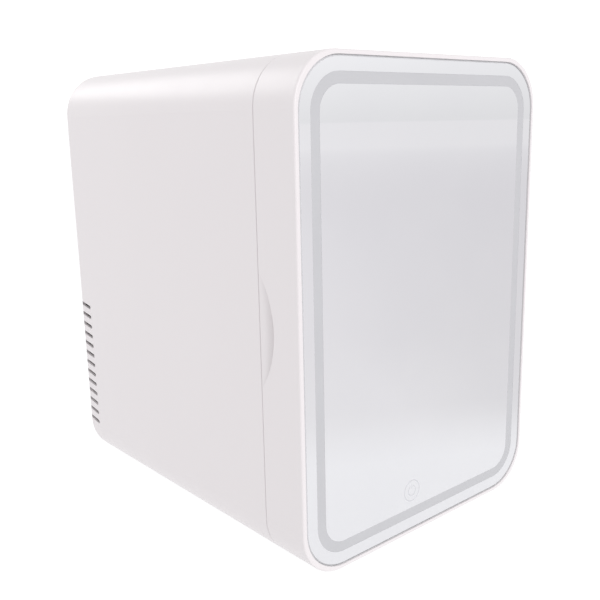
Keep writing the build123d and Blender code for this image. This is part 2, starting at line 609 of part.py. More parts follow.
def make_fan(size, front, depth):
    """Axial fan turning about Y, as (frame, bush, rotor). Its motor plate is on the rear side."""
    bore, back = size / 2 - 2.2, front + depth
    hub_r = size * 0.19
    frame = slab(rounded(size, size, 4, z=UNIT_Z), front, back) - rod_y(bore, 0, UNIT_Z, front - 1, back + 1)
    for i in range(4):
        strut = Pos(bore / 2 + 1, 0, 0) * Box(bore, 2.5, 3.4)
        frame += Pos(0, back - 1.25, UNIT_Z) * Rot(0, 45 + 90 * i, 0) * strut
    frame += rod_y(hub_r, 0, UNIT_Z, back - 2.5, back)
    frame += rod_y(3.6, 0, UNIT_Z, back - 6.5, back - 2)
    frame -= rod_y(2.6, 0, UNIT_Z, back - 7, back + 1)
    for x, z in fan_screw_places(size):
        frame -= rod_y(1.7, x, z, front - 1, back + 1)
    bush = rod_y(2.6, 0, UNIT_Z, back - 6.5, back - 0.2) - rod_y(1.5 + RUNNING, 0, UNIT_Z, back - 8, back + 1)
    tip_r, start, end = bore - 1.0, front + 0.8, back - 3.0
    rotor = rod_y(hub_r, 0, UNIT_Z, start, end)
    rotor = fillet(rotor.edges().filter_by(GeomType.CIRCLE).sort_by(Axis.Y)[0], 1.2)
    rotor -= rod_y(hub_r - 1.6, 0, UNIT_Z, start + 1.6, end + 1)
    reach = rod_y(tip_r, 0, UNIT_Z, start + 0.4, end - 0.4)
    reach -= rod_y(hub_r - 0.8, 0, UNIT_Z, front, back)
    chord = (end - start) * 1.25
    for i in range(7):
        blade = Pos((hub_r + tip_r) / 2, 0, 0) * Rot(48, 0, 0) * Box(tip_r - hub_r + 6, 1.3, chord)
        blade = Pos(0, (start + end) / 2, UNIT_Z) * Rot(0, 360 / 7 * i, 0) * blade
        rotor += blade & reach
    rotor += rod_y(1.5, 0, UNIT_Z, start + 0.8, back - 0.4)
    return frame, bush, rotor


def make_fan_screws(size, head_y, length):
    return Compound(children=[screw_y(x, z, head_y, length) for x, z in fan_screw_places(size)])


def inner_cover_screw_places():
    return [(sx * 42.0, UNIT_Z + 54.0) for sx in (-1, 1)]


def make_inner_cover():
    """Cover over the cold fan, on the chamber's back wall, with a slotted face and side vents."""
    front, wall, half = 36.0, 2.0, 49.0
    cover = slab(rounded(2 * half, 2 * half, 8, z=UNIT_Z), front, CHAMBER_BACK - 0.1)
    cover = fillet(cover.faces().sort_by(Axis.Y)[0].edges(), 3.0)
    cover -= slab(rounded(2 * (half - wall), 2 * (half - wall), 6, z=UNIT_Z), front + wall, CHAMBER_BACK + 1)
    tab = rounded(2 * half - 4, 12, 3, z=UNIT_Z + half + 3)
    cover += slab(tab, CHAMBER_BACK - 8.2, CHAMBER_BACK - 6.2) - slab(
        rounded(2 * (half - wall), 2 * (half - wall), 6, z=UNIT_Z), front + wall, CHAMBER_BACK + 1)
    for x, z in inner_cover_screw_places():
        cover -= rod_y(1.6, x, z, CHAMBER_BACK - 10, CHAMBER_BACK)
    for i in range(-5, 6):
        length = 2 * (27.0**2 - (i * 5.0) ** 2) ** 0.5
        cover -= slab(rounded(length, 2.6, 1.25, z=UNIT_Z + i * 5.0), front - 1, front + wall + 1)
    for i in range(-6, 7):
        cover -= block(-half - 1, half + 1, 53.0, 62.0, UNIT_Z + i * 6.0 - 1.4, UNIT_Z + i * 6.0 + 1.4)
    return cover


def make_shelf():
    half, z = CHAMBER_W / 2 - 0.6, RAIL_Z[0]
    middle = (SHELF_FRONT + SHELF_BACK) / 2
    plan = Pos(0, middle, z) * RectangleRounded(2 * half, SHELF_BACK - SHELF_FRONT, 8)
    plate = extrude(plan, amount=SHELF_T)
    for i in range(-7, 8):
        slot = Pos(i * 10.4, middle + 4, z - 1) * RectangleRounded(5.4, 112, 2.6)
        plate -= extrude(slot, amount=SHELF_T + 2)
    lip = block(-half + 8, half - 8, SHELF_FRONT, SHELF_FRONT + 2.4, z + SHELF_T - 0.5, z + SHELF_T + 8)
    return plate + fillet(lip.edges().filter_by(Axis.X).sort_by(Axis.Z)[-2:], 1.0)


# ---- electrics ----
def standoff_places():
    return [(sx * 58.0, z) for sx in (-1, 1) for z in (BOARD_LOW_Z + 5, BOARD_HIGH_Z - 5)]


def make_board():
    board = block(-64, 64, BOARD_Y, BOARD_Y + 1.6, BOARD_LOW_Z, BOARD_HIGH_Z)
    for x, z in standoff_places():
        board -= rod_y(1.7, x, z, BOARD_Y - 1, BOARD_Y + 3)
    return board


def make_standoffs():
    posts = [rod_y(3.5, x, z, FOAM_BACK + 0.1, BOARD_Y) + rod_y(1.6, x, z, BOARD_Y, BOARD_Y + 3.2)
             for x, z in standoff_places()]
    return Compound(children=posts)


def make_transformer():
    y = BOARD_Y + 1.6
    core = block(-14, 14, y + 2, y + 24, 248, 280)
    winding = block(-18, 18, y, y + 20, 253, 275)
    return core + winding


def make_capacitors():
    """Electrolytic cans on the board, as (x, z, radius, height)."""
    y = BOARD_Y + 1.6
    cans = []
    places = (-42, 280, 8.0, 26.0), (-42, 258, 5.0, 18.0), (38, 282, 5.0, 16.0), (50, 268, 5.0, 16.0)
    for x, z, r, h in places:
        can = rod_y(r, x, z, y, y + h)
        cans.append(fillet(can.edges().filter_by(GeomType.CIRCLE).sort_by(Axis.Y)[-1], 0.8))
    return Compound(children=cans)


def make_board_sockets():
    y = BOARD_Y + 1.6
    low, high = SOCKET_LOW_Z, SOCKET_LOW_Z + 8
    return Compound(children=[block(x - 7, x + 7, y, y + 9, low, high) for x in SOCKET_X.values()])


def make_ac_inlet():
    """Two-pin figure-of-eight inlet: flange in the recess, body behind it, cavity open to the rear."""
    face = RECESS_FLOOR + 2.0
    inlet = slab(rounded(26, 17, 3, x=INLET_X, z=RECESS_Z), RECESS_FLOOR, face)
    inlet += slab(rounded(20.4, 12.4, 2, x=INLET_X, z=RECESS_Z), RECESS_FLOOR - 14, RECESS_FLOOR)
    eight = joined([Pos(INLET_X + sx * 4.0, RECESS_Z) * Circle(4.4) for sx in (-1, 1)])
    inlet -= slab(eight, face - 12, face + 1)
    for sx in (-1, 1):
        inlet -= rod_y(1.2, INLET_X + sx * 4.3, RECESS_Z, RECESS_FLOOR - 20, face)
    return inlet


def make_ac_pins():
    return Compound(children=[
        rod_y(1.19, INLET_X + sx * 4.3, RECESS_Z, RECESS_FLOOR - 18, RECESS_FLOOR - 1) for sx in (-1, 1)])


def make_dc_jack():
    face = RECESS_FLOOR + 2.0
    jack = rod_y(8.5, JACK_X, RECESS_Z, RECESS_FLOOR, face)
    jack += rod_y(6.0, JACK_X, RECESS_Z, RECESS_FLOOR - 13, RECESS_FLOOR)
    jack -= rod_y(3.2, JACK_X, RECESS_Z, face - 10, face + 1)
    return jack - rod_y(1.0, JACK_X, RECESS_Z, RECESS_FLOOR - 20, face)


def make_dc_pin():
    return rod_y(0.99, JACK_X, RECESS_Z, RECESS_FLOOR - 16, RECESS_FLOOR)


def make_switch_housing():
    x, z = SWITCH_X, RECESS_Z
    housing = slab(rounded(25, 18, 1.5, x=x, z=z), RECESS_FLOOR, RECESS_FLOOR + 1.4)
    housing += slab(rounded(20.6, 14.2, 1, x=x, z=z), RECESS_FLOOR - 15, RECESS_FLOOR)
    half, reach = ROCKER_HALF_H + 0.3, ROCKER_R + 0.3
    space = rod_z(reach, x, ROCKER_PIVOT_Y, z - half, z + half)
    space += block(x - reach, x + reach, ROCKER_PIVOT_Y, RECESS_FLOOR + 3, z - half, z + half)
    housing -= space
    return housing - rod_z(1.5 + RUNNING, x, ROCKER_PIVOT_Y, z - half - 1.6, z + half + 1.6)


def make_rocker():
    """Three-position rocker that tilts about z. Its ends are arcs about the pivot, clear of the housing."""
    x, z, half = SWITCH_X, RECESS_Z, ROCKER_HALF_H
    rocker = rod_z(ROCKER_R, x, ROCKER_PIVOT_Y, z - half, z + half)
    rocker &= block(x - 20, x + 20, ROCKER_PIVOT_Y - 3, ROCKER_PIVOT_Y + 7.4, z - 20, z + 20)
    rocker -= rod_z(24.0, x, ROCKER_PIVOT_Y + 5.0 + 24.0, z - 20, z + 20)
    return rocker + rod_z(1.5, x, ROCKER_PIVOT_Y, z - half - 1.5, z + half + 1.5)


def lead(points, radius, bends):
    """Round wire along straight runs joined by arcs."""
    path = FilletPolyline(*points, radius=bends)
    section = Plane(origin=path @ 0, z_dir=path % 0) * Circle(radius)
    return sweep(section, path=path)


def make_fan_leads():
    """From each fan's frame to the fans' socket; the cold fan's goes through the liner and the foam."""
    hot_y, hot_top = HOT_FAN_FRONT + HOT_FAN_DEPTH / 2, UNIT_Z + HOT_FAN / 2
    hot_x = SOCKET_X["fans"] - 5.5
    hot = [(hot_x, hot_y, hot_top + 0.1), (hot_x, hot_y, hot_top + 14), (hot_x, LEAD_Y + 4, hot_top + 42),
           (hot_x, LEAD_Y, hot_top + 75), (hot_x, LEAD_Y, LEAD_END_Z)]
    cold_y, cold_x = COLD_FAN_FRONT + COLD_FAN_DEPTH / 2, SOCKET_X["fans"] - 2.3
    cold = [(COLD_FAN / 2 + 0.1, cold_y, UNIT_Z), (COLD_LEAD_X, cold_y, UNIT_Z),
            (COLD_LEAD_X, COLD_LEAD_Y, UNIT_Z), (COLD_LEAD_X, COLD_LEAD_Y, UNIT_Z + 65),
            (cold_x + 2.3, LEAD_Y - 8, UNIT_Z + 92), (cold_x, LEAD_Y, UNIT_Z + 116),
            (cold_x, LEAD_Y, LEAD_END_Z)]
    return Compound(children=[lead(hot, 1.2, 4.0), lead(cold, 1.0, 4.0)])


def make_module_leads():
    edge_y, top = (MODULE_FRONT + MODULE_BACK) / 2, UNIT_Z + MODULE / 2
    leads = []
    for x in (MODULE_LEAD_X - 3, MODULE_LEAD_X + 3):
        leads.append(lead([(x, edge_y, top + 0.2), (x, edge_y, top + 37), (x, LEAD_Y - 8, top + 57),
                           (x, LEAD_Y, top + 90), (x, LEAD_Y, LEAD_END_Z)], 1.0, 4.0))
    return Compound(children=leads)


def make_inlet_leads():
    """Two leads from each rear connector to its socket on the board."""
    mains, adapter, fans = SOCKET_X["mains"], SOCKET_X["adapter"], SOCKET_X["fans"]
    behind_inlet, behind_switch = RECESS_FLOOR - 18.2, RECESS_FLOOR - 15.2
    runs = (
        (INLET_X - 4.3, behind_inlet, mains - 4.3),
        (INLET_X + 4.3, behind_inlet, mains + 4.3),
        (JACK_X, RECESS_FLOOR - 16.2, adapter - 3),
        (JACK_X + 3.9, RECESS_FLOOR - 13.2, adapter + 3),
        (SWITCH_X, behind_switch, fans + 1.5),
        (SWITCH_X + 4, behind_switch, fans + 5.2),
    )
    leads = []
    for x, y, socket_x in runs:
        points = [(x, y, RECESS_Z), (x, LEAD_Y + 11, RECESS_Z), (socket_x, LEAD_Y + 4, RECESS_Z + 15),
                  (socket_x, LEAD_Y, RECESS_Z + 25), (socket_x, LEAD_Y, LEAD_END_Z)]
        leads.append(lead(points, 1.0, 3.0))
    return Compound(children=leads)


# ---- export ----
def build():
    hot_frame, hot_bush, hot_rotor = make_fan(HOT_FAN, HOT_FAN_FRONT, HOT_FAN_DEPTH)
    cold_frame, cold_bush, cold_rotor = make_fan(COLD_FAN, COLD_FAN_FRONT, COLD_FAN_DEPTH)
    nodes = {
        "outer_shell": make_outer_shell(),
        "front_frame": make_front_frame(),
        "inner_liner": make_liner(),
        "insulation_foam": make_foam(),
        "rear_cover": make_rear_cover(),
        "rear_cover_screws": Compound(children=[
            screw_y(x, z, REAR - 1.7, 8.0, head_t=1.6) for x, z in rear_screw_places()]),
        "hot_heat_sink": make_hot_sink(),
        "cold_heat_sink": make_cold_sink(),
        "cold_block": make_cold_block(),
        "peltier_module": make_module(),
        "module_gasket": make_module_gasket(),
        "clamp_screws": make_clamp_screws(),
        "hot_fan_frame": hot_frame,
        "hot_fan_bush": hot_bush,
        "hot_fan_rotor": hot_rotor,
        "hot_fan_screws": make_fan_screws(HOT_FAN, HOT_FAN_FRONT + HOT_FAN_DEPTH, HOT_FAN_DEPTH + 8),
        "cold_fan_frame": cold_frame,
        "cold_fan_bush": cold_bush,
        "cold_fan_rotor": cold_rotor,
        "inner_fan_cover": make_inner_cover(),
        "inner_cover_screws": Compound(children=[
            screw_y(x, z, CHAMBER_BACK - 8.2, 7.0, head_t=1.6, towards=1)
            for x, z in inner_cover_screw_places()]),
        "shelf": make_shelf(),
        "power_board": make_board(),
        "board_standoffs": make_standoffs(),
        "transformer": make_transformer(),
        "capacitors": make_capacitors(),
        "board_sockets": make_board_sockets(),
        "ac_inlet": make_ac_inlet(),
        "ac_pins": make_ac_pins(),
        "dc_jack": make_dc_jack(),
        "dc_pin": make_dc_pin(),
        "switch_housing": make_switch_housing(),
        "mode_rocker": make_rocker(),
        "fan_leads": make_fan_leads(),
        "module_leads": make_module_leads(),
        "inlet_leads": make_inlet_leads(),
        "door_shell": make_door_shell(),
        "mirror_glass": make_mirror_glass(),
        "frosted_light_band": make_light_band(),
        "touch_mark": make_touch_mark(),
        "led_strip": make_led_strip(),
        "led_lamps": make_leds(),
        "touch_board": make_touch_board(),
        "door_foam": make_door_foam(),
        "door_inner_panel": make_inner_panel(),
        "door_panel_screws": Compound(children=[
            screw_y(x, z, DOOR_BACK, 10.0, head_t=1.5) for x, z in panel_screw_places()]),
        "door_gasket": make_gasket(),
        "gasket_magnet": make_magnet_strip(),
        "door_bin": make_door_bin(),
        "hinge_pins": make_hinge_pins(),
        "cabinet_hinge_screws": make_hinge_screws(HINGE_Y + LEAF_SCREW_Y),
        "door_hinge_screws": make_hinge_screws(HINGE_Y - LEAF_SCREW_Y),
    }
    for name, (x, y) in zip(("front_left", "rear_left", "front_right", "rear_right"), foot_places()):
        nodes[f"foot_{name}"] = make_foot(x, y)
    for name, z in HINGE_Z.items():
        nodes[f"cabinet_hinge_leaf_{name}"] = make_cabinet_leaf(z)
        nodes[f"door_hinge_leaf_{name}"] = make_door_leaf(z)
    return nodes


os.makedirs("parts", exist_ok=True)
for node, shape in build().items():
    export_step(place(shape), f"parts/{node}.step")
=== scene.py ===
"""Looks of the mini fridge: materials, fine mesh detail, studio and camera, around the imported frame."""
import json
import math

import bmesh
import bpy
from mathutils import Matrix, Vector


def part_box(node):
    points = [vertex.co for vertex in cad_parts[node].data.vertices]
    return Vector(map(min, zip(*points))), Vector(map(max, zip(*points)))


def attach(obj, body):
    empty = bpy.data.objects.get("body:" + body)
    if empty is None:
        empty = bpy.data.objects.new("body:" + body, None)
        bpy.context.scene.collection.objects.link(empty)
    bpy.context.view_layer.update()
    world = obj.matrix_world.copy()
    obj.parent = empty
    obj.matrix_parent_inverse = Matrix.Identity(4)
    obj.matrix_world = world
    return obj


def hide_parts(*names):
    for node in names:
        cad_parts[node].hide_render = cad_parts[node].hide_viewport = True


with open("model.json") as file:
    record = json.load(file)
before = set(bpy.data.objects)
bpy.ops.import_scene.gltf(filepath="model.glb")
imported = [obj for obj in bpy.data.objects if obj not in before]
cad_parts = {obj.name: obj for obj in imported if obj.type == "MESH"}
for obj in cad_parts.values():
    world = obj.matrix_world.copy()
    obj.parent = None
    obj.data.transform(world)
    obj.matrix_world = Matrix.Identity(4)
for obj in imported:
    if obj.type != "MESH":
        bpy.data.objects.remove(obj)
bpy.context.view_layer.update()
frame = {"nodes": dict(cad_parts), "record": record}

MM = 0.001
NODES = frame["nodes"]

# Sizes of the mesh pieces that the frame's boxes do not give.
GASKET_W = 11.6 * MM  # across the seal's section, in the plane of the door
GASKET_CORNER_R = 28.8 * MM
BEAD_GAP = 0.5 * MM  # between the mirror's edge and the door's rim
BEAD_CLEAR = 0.02 * MM  # left on each side of the bead
BEAD_ROUND, BEAD_SAG = 0.12 * MM, 0.2 * MM
BEAD_CORNER_R = 33.5 * MM
BEAD_TOP, BEAD_ROOT = 0.5 * MM, 2.5 * MM  # below the face of the mirror

BLADE_COUNT = 7
BLADE_SWEEP = 12.0  # degrees that the tip is turned past the root
BLADE_ROOT_ARC, BLADE_ARC_DROP = 46.0, 12.0  # degrees round the hub, and how much less at the tip
BLADE_PITCH = 0.82  # of the blade's depth
BLADE_CAMBER = 0.28
BLADE_TIP_T, BLADE_ROOT_EXTRA_T = 0.55, 0.35  # half thickness in mm
ROTOR_TIP_GAP = 0.2 * MM
HUB_SHARE = 0.41  # of the rotor's radius
SHAFT_R = 1.45 * MM

# The surround is white, and greys a little to the right of the door and beyond a table's edge: the world's
# light dims there, and the floor's glow dims there as painted shade.
GREY_SIDE = (0.95, -0.30, 0.0)
TABLE_EDGE = (0.476, -0.88, 0.0)
TABLE_END, ROOM_START = 0.25, 0.36  # metres from the middle of the table
ROOM_DEPTH = 8.0
FLOOR_REACH = 60.0

CAMERA_TURN = (-40.5, 12.69, -1.27)  # azimuth, elevation and roll in degrees
CAMERA_OFFSET = (-0.4191, -0.353, 0.296)  # from the foot of the door's face, in metres
CAMERA_LENS = 47.77


# ---- node trees ----
class Shader:
    """A material's node tree, with the object's own space as its texture space."""

    def __init__(self, name):
        self.material = bpy.data.materials.new(name)
        self.material.use_nodes = True
        self.tree = self.material.node_tree
        self.tree.nodes.clear()
        self.output = self.node("ShaderNodeOutputMaterial")
        self.surface = self.node("ShaderNodeBsdfPrincipled")
        self.link(self.surface, "BSDF", self.output, "Surface")
        self.place = self.node("ShaderNodeTexCoord")

    def node(self, kind, **settings):
        made = self.tree.nodes.new(kind)
        for key, value in settings.items():
            setattr(made, key, value)
        return made

    def link(self, source, output, target, socket):
        self.tree.links.new(source.outputs[output], target.inputs[socket])

    def set(self, **values):
        """Constants on the surface shader's own sockets."""
        for key, value in values.items():
            self.surface.inputs[key.replace("_", " ")].default_value = value

    def plug(self, output, socket):
        """Takes an output to one of the surface shader's sockets."""
        self.tree.links.new(output, self.surface.inputs[socket])

    def space(self, stretch):
        """The object's space, stretched along its axes."""
        mapping = self.node("ShaderNodeMapping")
        mapping.inputs["Scale"].default_value = stretch
        self.link(self.place, "Object", mapping, "Vector")
        return mapping

    def noise(self, scale, detail=3.0, roughness=0.5, stretch=(1.0, 1.0, 1.0)):
        """Noise in cells per metre."""
        noise = self.node("ShaderNodeTexNoise")
        noise.inputs["Scale"].default_value = scale
        noise.inputs["Detail"].default_value = detail
        noise.inputs["Roughness"].default_value = roughness
        self.link(self.space(stretch), "Vector", noise, "Vector")
        return noise

    def cells(self, scale, feature="F1"):
        """Rounded cells, in cells per metre."""
        cells = self.node("ShaderNodeTexVoronoi", feature=feature)
        cells.inputs["Scale"].default_value = scale
        self.link(self.place, "Object", cells, "Vector")
        return cells

    def ramp(self, source, output, low, high, start=0.0, end=1.0):
        """Colours or greys between low and high, over start to end of the source."""
        ramp = self.node("ShaderNodeValToRGB")
        first, last = ramp.color_ramp.elements
        first.position, last.position = start, end
        first.color, last.color = colour(low), colour(high)
        self.link(source, output, ramp, "Fac")
        return ramp

    def mix(self, factor, output, first, second, blend="MIX"):
        """A mix of two colours, each a colour, a (node, output) pair or the output of another mix.

        With no factor node, the second argument is the factor itself.
        """
        mix = self.node("ShaderNodeMix", data_type="RGBA", blend_type=blend)
        if factor is None:
            mix.inputs["Factor"].default_value = output
        else:
            self.link(factor, output, mix, "Factor")
        for socket, value in (("A", first), ("B", second)):
            target = [s for s in mix.inputs if s.name == socket and s.type == "RGBA"][0]
            if isinstance(value, bpy.types.NodeSocket):
                self.tree.links.new(value, target)
            elif isinstance(value, tuple) and isinstance(value[0], bpy.types.Node):
                self.tree.links.new(value[0].outputs[value[1]], target)
            else:
                target.default_value = colour(value)
        return [s for s in mix.outputs if s.type == "RGBA"][0]

    def colour_from(self, source, output):
        self.link(source, output, self.surface, "Base Color")

    def roughness_from(self, source, output, low, high):
        self.link(self.ramp(source, output, low, high), "Color", self.surface, "Roughness")

    def bump(self, source, output, depth, strength=1.0, after=None):
        """A bump of the given depth in metres, on top of an earlier one."""
        bump = self.node("ShaderNodeBump")
        bump.inputs["Strength"].default_value = strength
        bump.inputs["Distance"].default_value = depth
        self.link(source, output, bump, "Height")
        if after is not None:
            self.link(after, "Normal", bump, "Normal")
        self.link(bump, "Normal", self.surface, "Normal")
        return bump

    def rounded_edges(self, radius):
        """Soft highlights on the sharp edges of moulded and cut parts."""
        bevel = self.node("ShaderNodeBevel")
        bevel.samples = 4
        bevel.inputs["Radius"].default_value = radius
        self.link(bevel, "Normal", self.surface, "Normal")
        return bevel


def colour(value):
    """A grey or an RGB colour as RGBA."""
    if isinstance(value, (int, float)):
        return (value, value, value, 1.0)
    return (*value[:3], 1.0)


# ---- materials ----
def moulded(name, base, roughness, grain=0.00002, variation=0.02):
    """Injection-moulded plastic: spark-eroded grain, soft edges and a slight drift of tone and gloss."""
    shader = Shader(name)
    cloud = shader.noise(9.0, detail=4.0)
    dark = tuple(c * (1.0 - variation) for c in base)
    shader.colour_from(shader.ramp(cloud, "Fac", dark, base, 0.3, 0.7), "Color")
    gloss = shader.noise(60.0, detail=5.0, roughness=0.6)
    shader.roughness_from(gloss, "Fac", roughness * 0.85, roughness * 1.15)
    soft = shader.rounded_edges(0.3 * MM)
    sparks = shader.noise(2600.0, detail=2.0)
    shader.bump(sparks, "Fac", grain, 0.5, after=soft)
    shader.set(IOR=1.5)
    return shader


def shell_plastic():
    """The body's warm white, satin ABS."""
    return moulded("shell_white", (0.725, 0.690, 0.703), 0.36, variation=0.008)


def liner_plastic():
    """Smoother, slightly cooler plastic of the chamber and the door's inside."""
    return moulded("liner_white", (0.70, 0.70, 0.71), 0.30, grain=0.00001, variation=0.005)


def mirror_silver():
    """Silvered front glass with a trace of polish marks, and dull ground glass on its bevel and sides."""
    shader = Shader("mirror")
    haze = shader.noise(14.0, detail=5.0, roughness=0.55)
    silver = shader.ramp(haze, "Fac", (0.775, 0.775, 0.80), (0.79, 0.79, 0.812), 0.3, 0.7)
    polish = shader.noise(700.0, detail=2.0, stretch=(1.0, 1.0, 0.08))
    gloss = shader.ramp(polish, "Fac", 0.015, 0.035)
    grit = shader.noise(2400.0, detail=2.0)
    ground = shader.ramp(grit, "Fac", (0.62, 0.62, 0.64), (0.70, 0.70, 0.72), 0.3, 0.7)
    facing = shader.node("ShaderNodeVectorMath", operation="DOT_PRODUCT")
    facing.inputs[1].default_value = (0.0, -1.0, 0.0)
    shader.link(shader.place, "Normal", facing, 0)
    face = shader.ramp(facing, "Value", 0.0, 1.0, 0.90, 0.97)
    shader.plug(shader.mix(face, "Color", (ground, "Color"), (silver, "Color")), "Base Color")
    shader.plug(shader.mix(face, "Color", 0.55, (gloss, "Color")), "Roughness")
    shader.link(face, "Color", shader.surface, "Metallic")
    shader.set(IOR=1.5)
    return shader


def frosted_glass(name, light, dark):
    """Sand-blasted strip of the mirror with the lamps behind it, switched off."""
    shader = Shader(name)
    frost = shader.noise(3200.0, detail=2.0)
    cloud = shader.noise(30.0, detail=3.0)
    blotches = shader.ramp(cloud, "Fac", dark, light)
    grains = shader.ramp(frost, "Fac", dark, light)
    shader.plug(shader.mix(None, 0.35, (blotches, "Color"), (grains, "Color")), "Base Color")
    shader.roughness_from(frost, "Fac", 0.5, 0.68)
    shader.bump(frost, "Fac", 0.00002, 0.6)
    shader.set(IOR=1.5, Specular_IOR_Level=0.4)
    return shader


def rubber(name, base):
    """Soft moulded rubber: dull, with a dusty speckle."""
    shader = Shader(name)
    dust = shader.noise(900.0, detail=4.0, roughness=0.7)
    pale = tuple(min(1.0, c * 1.12 + 0.01) for c in base)
    shader.colour_from(shader.ramp(dust, "Fac", base, pale, 0.45, 0.75), "Color")
    shader.roughness_from(dust, "Fac", 0.62, 0.85)
    shader.bump(dust, "Fac", 0.00003, 0.5)
    shader.set(Specular_IOR_Level=0.35, Sheen_Weight=0.1, Sheen_Roughness=0.5)
    return shader


def foam():
    """Poured polyurethane: cream, with fine closed cells and a few larger blow holes, the shade in cells and
    holes painted into the colour.
    """
    shader = Shader("foam")
    fine = shader.cells(1400.0)
    holes = shader.cells(160.0)
    # Painted shade: the cream darkens toward the middle of each fine cell, and the blow holes are dark brown,
    # as shade in pores and holes.
    skin = shader.ramp(fine, "Distance", (0.62, 0.50, 0.29), (0.80, 0.70, 0.47), 0.0, 0.7)
    painted_hole_shade = shader.ramp(holes, "Distance", 1.0, 0.0, 0.05, 0.14)
    shader.plug(shader.mix(painted_hole_shade, "Color", (skin, "Color"), (0.46, 0.34, 0.17)), "Base Color")
    shader.set(Roughness=0.9)
    shader.bump(fine, "Distance", 0.0003, 0.7)
    return shader


def extruded_aluminium():
    """Extruded fins: draw lines along Z in a clear anodised skin."""
    shader = Shader("aluminium")
    lines = shader.noise(1500.0, detail=3.0, stretch=(1.0, 1.0, 0.02))
    cloud = shader.noise(25.0)
    drawn = shader.ramp(lines, "Fac", (0.56, 0.57, 0.59), (0.70, 0.71, 0.72), 0.3, 0.7)
    shader.plug(shader.mix(cloud, "Fac", (drawn, "Color"), (0.62, 0.63, 0.645)), "Base Color")
    shader.roughness_from(lines, "Fac", 0.28, 0.45)
    shader.bump(lines, "Fac", 0.00003, 0.5, after=shader.rounded_edges(0.0002))
    shader.set(Metallic=1.0)
    return shader


def plated_steel():
    """Zinc-plated screws and posts, with a faint passivation tint."""
    shader = Shader("steel")
    tint = shader.noise(260.0, detail=3.0)
    shader.colour_from(shader.ramp(tint, "Fac", (0.50, 0.51, 0.54), (0.64, 0.63, 0.60), 0.35, 0.65), "Color")
    scratches = shader.noise(3000.0, detail=2.0, stretch=(1.0, 0.2, 1.0))
    shader.roughness_from(scratches, "Fac", 0.22, 0.42)
    shader.bump(scratches, "Fac", 0.00001, 0.4, after=shader.rounded_edges(0.0002))
    shader.set(Metallic=1.0)
    return shader


def powder_coat():
    """White powder coat on the hinges, with orange peel and a little wear on the edges."""
    shader = Shader("hinge")
    peel = shader.noise(1100.0, detail=2.0)
    worn = shader.node("ShaderNodeNewGeometry")
    edge = shader.ramp(worn, "Pointiness", 0.0, 1.0, 0.53, 0.60)
    shader.plug(shader.mix(edge, "Color", (0.755, 0.735, 0.742), (0.64, 0.64, 0.65)), "Base Color")
    shader.roughness_from(peel, "Fac", 0.32, 0.46)
    shader.bump(peel, "Fac", 0.00006, 0.5, after=shader.rounded_edges(0.00035))
    shader.set(Coat_Weight=0.25, Coat_Roughness=0.2)
    return shader


def alumina():
    """Sintered white ceramic of the thermoelectric module's plates."""
    shader = Shader("ceramic")
    sinter = shader.noise(1800.0, detail=3.0)
    shader.colour_from(shader.ramp(sinter, "Fac", (0.74, 0.73, 0.69), (0.84, 0.83, 0.80)), "Color")
    shader.roughness_from(sinter, "Fac", 0.5, 0.7)
    shader.bump(sinter, "Fac", 0.00001, 0.4)
    return shader


def black_plastic():
    """Fans, inlets, switch and other black mouldings."""
    return moulded("black_plastic", (0.022, 0.022, 0.024), 0.42, grain=0.00004, variation=0.25)


def component_plastic():
    """Dark cases of the parts on the boards."""
    return moulded("components", (0.055, 0.058, 0.066), 0.34, variation=0.3)


def solder_mask():
    """Green circuit board: paler copper tracks under the mask, and a weave in the laminate."""
    shader = Shader("board")
    tracks = shader.cells(190.0, feature="DISTANCE_TO_EDGE")
    lines = shader.ramp(tracks, "Distance", 1.0, 0.0, 0.03, 0.05)
    shader.plug(shader.mix(lines, "Color", (0.012, 0.085, 0.03), (0.035, 0.19, 0.07)), "Base Color")
    weave = shader.noise(2000.0, detail=1.0)
    shader.roughness_from(weave, "Fac", 0.25, 0.4)
    shader.bump(lines, "Color", 0.00004, 0.5)
    shader.set(Coat_Weight=0.4, Coat_Roughness=0.15)
    return shader


def lamp_lens():
    """Yellow phosphor under a clear lens."""
    shader = Shader("lamp")
    phosphor = shader.noise(4000.0, detail=2.0)
    shader.colour_from(shader.ramp(phosphor, "Fac", (0.78, 0.70, 0.24), (0.88, 0.84, 0.52)), "Color")
    shader.set(Roughness=0.3, Coat_Weight=0.6, Coat_Roughness=0.08)
    return shader


def brass():
    """Turned brass of the pins and bushes."""
    shader = Shader("brass")
    turned = shader.noise(1600.0, detail=2.0, stretch=(1.0, 0.1, 1.0))
    shader.colour_from(shader.ramp(turned, "Fac", (0.60, 0.44, 0.19), (0.76, 0.60, 0.30)), "Color")
    shader.roughness_from(turned, "Fac", 0.2, 0.36)
    shader.set(Metallic=1.0)
    return shader


def wire_insulation():
    """Alternating red and black leads, by the solid's place across the board."""
    shader = Shader("wire")
    bands = shader.node("ShaderNodeTexWave", wave_type="BANDS", bands_direction="X")
    bands.inputs["Scale"].default_value = 26.0
    shader.link(shader.place, "Object", bands, "Vector")
    black, red = (0.03, 0.03, 0.032), (0.36, 0.02, 0.018)
    shader.colour_from(shader.ramp(bands, "Fac", black, red, 0.45, 0.55), "Color")
    grain = shader.noise(1200.0)
    shader.roughness_from(grain, "Fac", 0.4, 0.55)
    return shader


def ferrite():
    """Gritty, rubber-bonded magnet strip."""
    shader = Shader("magnet")
    grit = shader.noise(2200.0, detail=3.0)
    shader.colour_from(shader.ramp(grit, "Fac", (0.05, 0.045, 0.042), (0.11, 0.10, 0.095)), "Color")
    shader.roughness_from(grit, "Fac", 0.6, 0.8)
    shader.bump(grit, "Fac", 0.00004, 0.6)
    return shader


